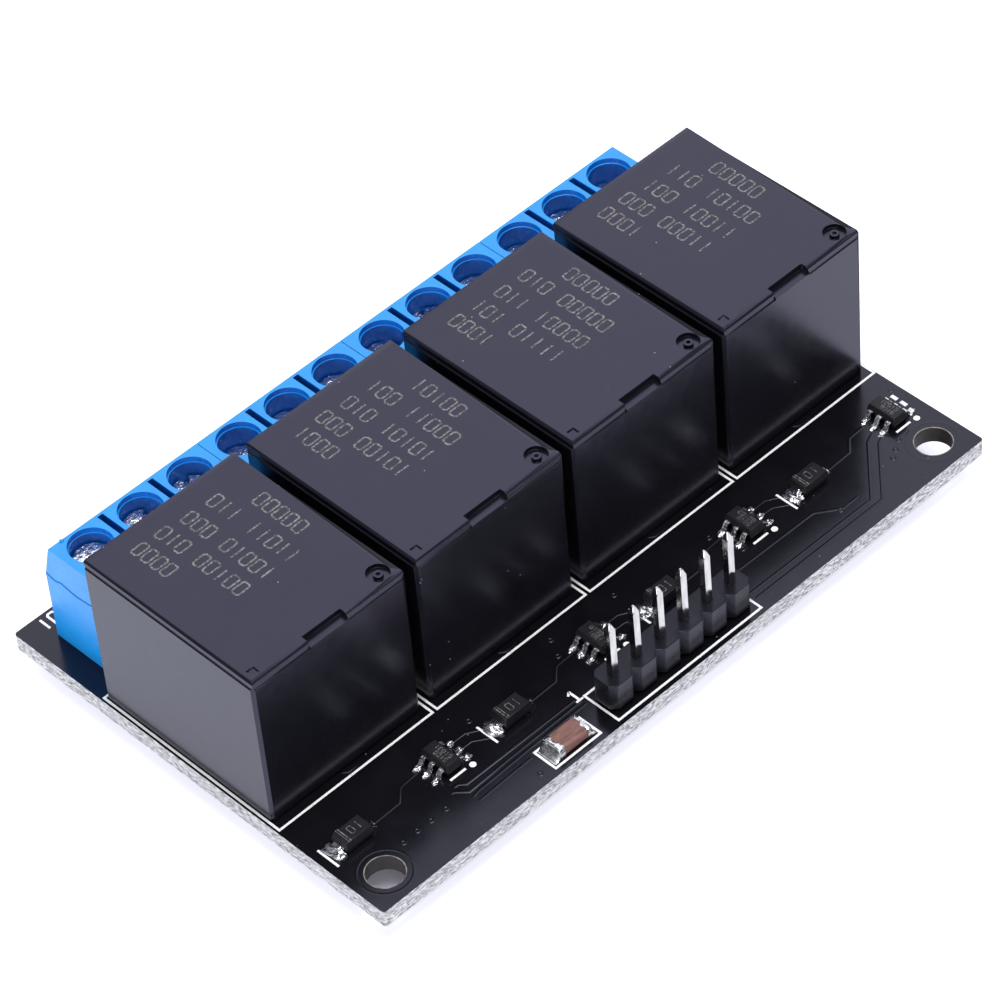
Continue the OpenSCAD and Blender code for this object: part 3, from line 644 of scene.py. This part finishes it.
# Each row's place across the case, its start from the case's front and its count of marks
MARK_ROWS = ((3.75, 13.2, 4), (6.05, 7.8, 9), (8.4, 7.5, 9), (10.9, 7.4, 9), (13.3, 9.2, 5))
MARK_PITCH = 1.07
MARK_SIZE = 1.36
MARK_STROKE = 0.16
MARK_SPACE = 5
SHARE_OF_ONES = 0.28
EDGE_R = 0.5
# Angle on the solid's rounded edge, then the inset and depth of the real stepped edge there
EDGE_STEPS = ((0, 0.38, 0.0), (22.5, 0.30, 0.04), (45, 0.14, 0.21), (67.5, 0.12, 0.6),
              (90, 0.0, 0.7))
# The step is moulded on the left and front edges, and next to nothing on the other two
FAR_SHARE = 0.12
CORNER_CUT = 0.8
CORNER_LEFT = 0.3
VENT_INSET = 1.4
# Radii of the solid's vent rings, then the radii they are drawn in to
VENT_RADII = ((0.0, 0.0), (0.275, 0.17), (0.55, 0.4), (1.1, 0.95))


def between(value, table):
    """The table's other columns at a value of its first, by straight lines."""
    for a, b in zip(table, table[1:]):
        if value <= b[0]:
            t = max(0.0, (value - a[0]) / (b[0] - a[0]))
            return [p + (q - p) * t for p, q in zip(a[1:], b[1:])]
    return table[-1][1:]


def sharpen_corner(bm, right, front):
    """Narrows the case's cut right front corner to what the photo leaves of it."""
    for v in bm.verts:
        x = (right - v.co.x) / MM
        y = (v.co.y - front) / MM
        if abs(x + y - CORNER_CUT) > 0.01 or min(x, y) < -0.001 or abs(x - y) < 0.01:
            continue
        inset = min(x, y)
        along = max(CORNER_LEFT - inset, inset)
        if y < x:
            v.co.x = right - along * MM
        else:
            v.co.y = front + along * MM


def step_edges(v, lo, hi, top):
    """Moves a vertex of the solid's rounded top edges on to the stepped edge."""
    depth = (top - v.co.z) / MM
    moved = None
    for axis in (0, 1):
        for wall, inward, share in ((lo[axis], 1, 1), (hi[axis], -1, FAR_SHARE)):
            inset = (v.co[axis] - wall) * inward / MM
            from_arc = abs(math.hypot(EDGE_R - inset, EDGE_R - depth) - EDGE_R)
            if inset > EDGE_R or from_arc > 0.02:
                continue
            turn = math.degrees(math.atan2(EDGE_R - inset, EDGE_R - depth))
            step, moved = between(turn, EDGE_STEPS)
            v.co[axis] = wall + inward * step * share * MM
    if moved is not None:
        v.co.z = top - moved * MM


def mould_case(bm):
    """Turns the case's rounded top edges into a small step and draws in its vent."""
    left, right = extent(bm, 0)
    front, rear = extent(bm, 1)
    top = extent(bm, 2)[1]
    vent = Vector((right - VENT_INSET * MM, front + VENT_INSET * MM))
    sharpen_corner(bm, right, front)
    for v in bm.verts:
        if (top - v.co.z) / MM > EDGE_R + 0.01:
            continue
        away = v.co.xy - vent
        radius = away.length / MM
        if 0.05 < radius < VENT_RADII[-1][0] + 0.02:
            new = between(radius, VENT_RADII)[0]
            v.co.x, v.co.y = vent + away * (new / radius)
        else:
            step_edges(v, (left, front), (right, rear), top)
    bmesh.ops.remove_doubles(bm, verts=bm.verts, dist=0.001 * MM)
    # The top is lowered, so that the marking stays under the CAD's highest point
    top = extent(bm, 2)[1]
    for v in bm.verts:
        if v.co.z > top - 0.02 * MM:
            v.co.z -= SKIN * MM


def make_relay(i):
    """A relay's case, and rows of plain digits where its ratings would stand."""
    node = f"relay_cover_{i + 1}"
    refined(f"relay_case_{i + 1}", node, 0.03, change=mould_case)
    lo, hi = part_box(node)
    rng = random.Random(11 + i)
    bm = bmesh.new()
    x0 = (lo.x - board_lo.x) / MM
    y0 = (lo.y - board_lo.y) / MM
    top = (hi.z - board_hi.z) / MM
    for x, start, count in MARK_ROWS:
        for k in range(count):
            # A long row has an empty place in it; a short one has none
            if count > MARK_SPACE and k == MARK_SPACE:
                continue
            one = rng.random() < SHARE_OF_ONES
            digit(bm, (x0 + x, y0 + start + MARK_PITCH * k), True, MARK_SIZE, one,
                  MARK_STROKE, top - SKIN, top - 0.002)
    add_piece(f"relay_marking_{i + 1}", bm, ["etched"])


for i in range(RELAYS):
    make_relay(i)

# --- terminals -----------------------------------------------------------------------

WELL_DEPTH = 6.5
WELL_R = 1.95
SLOT_REACH = 3.2
RIM_H = 0.6
SCREWS = [sum(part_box(f"terminal_screw_{n + 1}"), Vector()) / 2 for n in range(POLES)]


def paint_well_shade(bm):
    """Gives the walls inside the screw wells and the slots darker blues as painted shade."""
    bm.normal_update()
    left, right = extent(bm, 0)
    rear = extent(bm, 1)[1]
    top = extent(bm, 2)[1]
    for face in bm.faces:
        centre = face.calc_center_median()
        if abs(face.normal.z) > 0.6 or centre.z < top - WELL_DEPTH * MM:
            continue
        outside = min(rear - centre.y, centre.x - left, right - centre.x) < 0.05 * MM
        away = min((centre - c).xy.length for c in SCREWS)
        if outside or away > SLOT_REACH * MM:
            continue
        # The wells' upper band takes the lighter painted shade; the deeper walls and the slots
        # take the darker
        in_rim = centre.z >= top - RIM_H * MM and away <= WELL_R * MM
        face.material_index = 2 if in_rim else 1


for i in range(RELAYS):
    refined(f"terminal_skin_{i + 1}", f"terminal_housing_{i + 1}", 0.06,
            ["terminal_blue", "terminal_painted_shade", "terminal_rim_painted_shade"], change=paint_well_shade)
for n in range(POLES):
    refined(f"screw_skin_{n + 1}", f"terminal_screw_{n + 1}", 0.05)

# The parting line's course over the end face: place along y and height over the board
PARTING = ((39.0, 6.96), (37.92, 6.73), (37.33, 6.97), (36.55, 6.84), (35.5, 6.73),
           (34.42, 6.82), (33.6, 6.95), (32.4, 6.9), (31.6, 6.9))
PARTING_PROFILE = ((0.03, -0.06), (-0.035, -0.025), (-0.035, 0.025), (0.03, 0.06))


def make_end_line():
    """The parting line that wanders across the row's end face, a ridge under a line of painted
    shade, and a nib on its top.
    """
    lo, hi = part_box("terminal_housing_1")
    x = (lo.x - board_lo.x) / MM
    # The upper strip is painted shade, a dark line along the parting line; the lower one is a
    # ridge in the body's own blue
    for name, look, rise in (("end_parting_painted_shade", "terminal_painted_shade", 0.07),
                             ("end_parting_line", "terminal_blue", -0.05)):
        bm = bmesh.new()
        tube(bm, [[bm.verts.new(board_point(x + dx, y, z + rise + dz))
                   for dx, dz in PARTING_PROFILE] for y, z in PARTING])
        add_piece(name, bm, [look])
    bm = bmesh.new()
    top = (hi.z - board_hi.z) / MM
    blob(bm, (3.5, 38.05), (0.22, 0.16, 0.16), 4.0, 0.4, floor=top - 0.02)
    add_piece("terminal_nib", bm, ["terminal_blue"])


make_end_line()

# --- header and small parts ----------------------------------------------------------

for name, node, width_mm in (("header_block", "header_strip", 0.05),
                             ("header_pin_row", "header_pins", 0.04),
                             ("diode_moulds", "diode_bodies", 0.05),
                             ("driver_moulds", "driver_bodies", 0.04),
                             ("smd_terminals", "smd_leads", 0.03)):
    refined(name, node, width_mm)

CORE_GROWTH = (0.28, 0.06, 0.08)


def lengthen_core(bm):
    """Runs the ceramic out under the solder that wraps its two ends."""
    middle = [sum(extent(bm, axis)) / 2 for axis in (0, 1)]
    top = extent(bm, 2)[1]
    for v in bm.verts:
        for axis in (0, 1):
            v.co[axis] += math.copysign(CORE_GROWTH[axis] * MM, v.co[axis] - middle[axis])
        if v.co.z > top - 0.01 * MM:
            v.co.z += CORE_GROWTH[2] * MM


refined("capacitor_core", "capacitor_body", 0.13, segments=3, change=lengthen_core)

# The first relay's diode and chip; the others follow at the relays' pitch
DIODE_X, DIODE_Y = 3.4, 6.85
CHIP_X, CHIP_Y = 13.0, 7.35
LEG_PITCH = 0.95
# Each drop on a diode's pads: its place from the diode's middle, size, seed and lumpiness
DIODE_DROPS = (((-1.85, 0.05), (0.66, 0.92, 0.34), 3.1, 0.6),
               ((-1.6, -0.25), (0.36, 0.52, 0.62), 7.7, 0.5),
               ((1.85, 0.0), (0.26, 0.5, 0.26), 9.1, 0.4))
LEG_DROP = (0.4, 0.26, 0.2)
# A chip's leg from the body out: distance from the chip's middle and height of its top
LEG_PATH = ((0.8, 0.74), (1.0, 0.74), (1.14, 0.66), (1.24, 0.5), (1.3, 0.3), (1.42, 0.17),
            (1.75, 0.13))
LEG_HALF_W = 0.2
LEG_T = 0.12
# The capacitor's front and rear edges and its height
CAP_FRONT, CAP_REAR = 0.9, 2.8
CAP_H = 1.04
# Each solder cap's inner border, the capacitor's end, the slope's foot, and a seed
CAP_ENDS = ((19.6, 19.2, 18.55, 0.4), (22.08, 22.42, 23.0, 2.3))
BARE_PADS_Y = (8.4, 7.39)


def drape(bm, x_inner, x_edge, x_foot, seed):
    """Solder over a capacitor's end: a wavy border on top and a hollow slope to the board."""
    across, over, down = 14, 4, 9
    depth = CAP_REAR - CAP_FRONT
    stations = [k / over * 0.5 for k in range(over)]
    stations += [0.5 + k / down * 0.5 for k in range(down + 1)]
    grid = []
    for t in stations:
        row = []
        for j in range(across + 1):
            s = j / across
            wave = 0.11 * math.sin(7.5 * s + seed) + 0.05 * math.sin(17 * s + seed * 2)
            lump = 0.05 * noise.noise(Vector((t * 4 + seed, s * 4, 0)))
            if t < 0.5:
                x = x_inner + wave * (1 - 2 * t) + (x_edge - x_inner) * 2 * t
                z = CAP_H + 0.03 + (0.03 if t else 0.0)
                y = CAP_FRONT + depth * s
            else:
                k = 2 * t - 1
                x = x_edge + (x_foot - x_edge) * k
                z = (CAP_H + 0.04) * (1 - k) ** 1.7 + lump * (1 - k)
                y = (CAP_FRONT + CAP_REAR) / 2 + depth * (s - 0.5) * (1 + 0.06 * math.sin(3 * k))
            z -= 0.12 * CAP_H * abs(2 * s - 1) ** 10
            row.append((bm.verts.new(board_point(x, y, max(z, 0.01))),
                        bm.verts.new(board_point(x, y, 0.0))))
        grid.append(row)
    for a, b in zip(grid, grid[1:]):
        for j in range(across):
            bm.faces.new((a[j][0], a[j + 1][0], b[j + 1][0], b[j][0]))
            bm.faces.new((a[j][1], b[j][1], b[j + 1][1], a[j + 1][1]))
        for j in (0, across):
            bm.faces.new((a[j][0], b[j][0], b[j][1], a[j][1]))
    for row in (grid[0], grid[-1]):
        for j in range(across):
            bm.faces.new((row[j][0], row[j][1], row[j + 1][1], row[j + 1][0]))


def leg(bm, x, y, side, reach, seed):
    """A chip's bent leg under its coat of solder; reach lengthens its foot."""
    rings = []
    for i, (px, pz) in enumerate(LEG_PATH):
        px *= 1 + (reach - 1) * max(0, i - 3) / 3
        wide = LEG_HALF_W + 0.05 * noise.noise(Vector((seed, i * 0.9, 0)))
        rings.append([bm.verts.new(board_point(x + side * px, y + dy, z)) for dy, z in
                      ((-wide, pz - LEG_T), (wide, pz - LEG_T), (wide, pz), (-wide, pz))])
    tube(bm, rings)


def make_solder():
    """Drops on the diodes' and chips' pads, the chips' legs and the capacitor's ends."""
    bm = bmesh.new()
    for i in range(RELAYS):
        x = PITCH * i
        for (dx, dy), size, seed, lumps in DIODE_DROPS:
            blob(bm, (x + DIODE_X + dx, DIODE_Y + dy), size, seed + i, lumps)
        for side in (-1, 1):
            for k in (-1, 0, 1):
                # The last chip has bare pads in place of two of its right legs
                if (i, side) == (RELAYS - 1, 1) and k > -1:
                    continue
                seed = i * 6.3 + side * 2.1 + k
                y = CHIP_Y + LEG_PITCH * k
                blob(bm, (x + CHIP_X + side * 1.66, y - 0.05), LEG_DROP, seed, 0.6)
                leg(bm, x + CHIP_X, y, side, 1.1 if side > 0 else 1.0, seed)
    for inner, edge, foot, seed in CAP_ENDS:
        drape(bm, inner, edge, foot, seed)
    pad_x = (RELAYS - 1) * PITCH + CHIP_X + 1.97
    for y in BARE_PADS_Y:
        ribbon(bm, [(pad_x, y - 0.33), (pad_x, y + 0.33)], 0.4, 0, 0.05, 0.03)
    add_piece("solder_drops", bm, ["solder"], angle=50)


PACKAGE_TOP = (1.14, 1.165)
# Both lines of a diode's band, from its middle; then its digits: place and whether it is a 1
BAND_LINES = (0.42, 0.62)
BAND_START = 1.4
BAND_HALF = 0.78
DIODE_DIGITS = ((-0.1, False), (0.6, True))
CHIP_ROWS = ((-0.25, 4), (0.25, 5))


def make_package_marks():
    """Cathode bands and plain digits on the small packages."""
    bm = bmesh.new()
    for i in range(RELAYS):
        x = PITCH * i
        for k in BAND_LINES:
            line_x = x + DIODE_X - BAND_START + k
            ribbon(bm, [(line_x, DIODE_Y - BAND_HALF), (line_x, DIODE_Y + BAND_HALF)], 0.07,
                   *PACKAGE_TOP)
        for place, one in DIODE_DIGITS:
            digit(bm, (x + DIODE_X + place, DIODE_Y), False, 0.75, one, 0.06, *PACKAGE_TOP)
        for row, count in CHIP_ROWS:
            for k in range(count):
                digit(bm, (x + CHIP_X + row, CHIP_Y - 0.75 + 0.35 * k), True, 0.36,
                      (k + i) % 3 == 1, 0.05, *PACKAGE_TOP)
    add_piece("package_marks", bm, ["etched"])


def inset_left_line(bm):
    """Sets the printed line at the board's left end in a little from the edge."""
    for v in bm.verts:
        if v.co.x < board_lo.x + 0.3 * MM:
            v.co.x += 0.13 * MM


make_solder()
make_package_marks()
refined("printed_lines", "silkscreen", 0.005, segments=1, change=inset_left_line)

# --- carried-over nodes --------------------------------------------------------------

for node, piece in nodes.items():
    piece.data.materials.clear()
    piece.data.materials.append(LOOKS[slots_of[node]])

# --- floor and light -----------------------------------------------------------------

FLOOR_HALF_SIZE = 3
FLOOR_DROP = 0.0002
FLOOR_GLOW = 0.86
# How far inside the board's outline the glow dies away: from, to
GLOW_EDGE = (-2.5, -1.2)
LOBE_DIRECTION = Vector((0.456, 0.537, 0.71))
LOBE_ANGLES = (0.70, 0.95)
LOBE_STRENGTHS = (0.25, 1.63)
SKY_COLOUR = (0.93, 0.94, 1.0, 1)
# Name, place, size and power of each lamp; all face the origin
LAMPS = (("side", (-1.0, -0.15, 0.3), (0.5, 0.3), 4.8),
         ("front", (0.1, -1.0, 0.28), (0.5, 0.3), 3.0),
         ("overhead", (0.02, -0.15, 1.25), (0.9, 0.6), 12.5))


def floor_look():
    """A pale light table whose glow washes out the board's shadows round it; it gives no light
    of its own where the board covers it, and there its colour is painted shadow.
    """
    s = Shader("floor", Roughness=0.9, Specular_IOR_Level=0.0,
               Emission_Color=(0.89, 0.9, 1.0, 1))
    axes = s.axes()
    middle = (board_lo + board_hi) / 2
    reach = []
    for axis, centre, half in (("X", middle.x, BOARD_L / 2), ("Y", middle.y, BOARD_W / 2)):
        place = s.math("SUBTRACT", axes[axis], centre)
        reach.append(s.math("SUBTRACT", s.math("ABSOLUTE", place, 0), half * MM))
    outside = s.math("MAXIMUM", *reach)
    clear = s.remap(outside, GLOW_EDGE[0] * MM, GLOW_EDGE[1] * MM)
    uneven = s.remap(s.noise(400.0, 1.0), 0.3, 0.7)
    pale = s.mix(uneven, (0.44, 0.45, 0.48), (0.46, 0.47, 0.5))
    # Painted shadow under the board, lighter at its left end and darker at its right
    along = s.remap(axes["X"], -BOARD_L / 2 * MM, BOARD_L / 2 * MM)
    painted_shadow = s.mix(along, (0.62, 0.6, 0.68), (0.27, 0.26, 0.3))
    s.colour(s.mix(clear, painted_shadow, pale))
    # The glow brightens the floor's shadows round the board; it is cut off under the board,
    # where the painted shadow takes over
    s.link(s.math("MULTIPLY", clear, FLOOR_GLOW), s.principled.inputs["Emission Strength"])
    return s.material


def make_floor():
    bm = bmesh.new()
    bmesh.ops.create_grid(bm, x_segments=1, y_segments=1, size=FLOOR_HALF_SIZE)
    mesh = bpy.data.meshes.new("floor")
    bm.to_mesh(mesh)
    bm.free()
    mesh.materials.append(floor_look())
    floor = bpy.data.objects.new("floor", mesh)
    floor.location = (0, 0, -FLOOR_DROP)
    scene.collection.objects.link(floor)


def area_light(name, place, size, power):
    data = bpy.data.lights.new(name, "AREA")
    data.shape = "RECTANGLE"
    data.size, data.size_y = size
    data.energy = power
    light = bpy.data.objects.new(name, data)
    light.location = place
    light.rotation_euler = (-Vector(place)).to_track_quat("-Z", "Y").to_euler()
    scene.collection.objects.link(light)


def make_world():
    """Dim cool surroundings with one wide bright patch behind and to the right."""
    world = bpy.data.worlds.new("world")
    world.use_nodes = True
    tree = world.node_tree
    coords = tree.nodes.new("ShaderNodeTexCoord")
    dot = tree.nodes.new("ShaderNodeVectorMath")
    dot.operation = "DOT_PRODUCT"
    dot.inputs[1].default_value = LOBE_DIRECTION.normalized()
    lobe = tree.nodes.new("ShaderNodeMapRange")
    lobe.interpolation_type = "SMOOTHSTEP"
    for key, value in zip(("From Min", "From Max", "To Min", "To Max"),
                          LOBE_ANGLES + LOBE_STRENGTHS):
        lobe.inputs[key].default_value = value
    tree.links.new(coords.outputs["Generated"], dot.inputs[0])
    tree.links.new(dot.outputs["Value"], lobe.inputs["Value"])
    background = tree.nodes["Background"]
    background.inputs["Color"].default_value = SKY_COLOUR
    tree.links.new(lobe.outputs["Result"], background.inputs["Strength"])
    scene.world = world


make_floor()
make_world()
for lamp in LAMPS:
    area_light(*lamp)
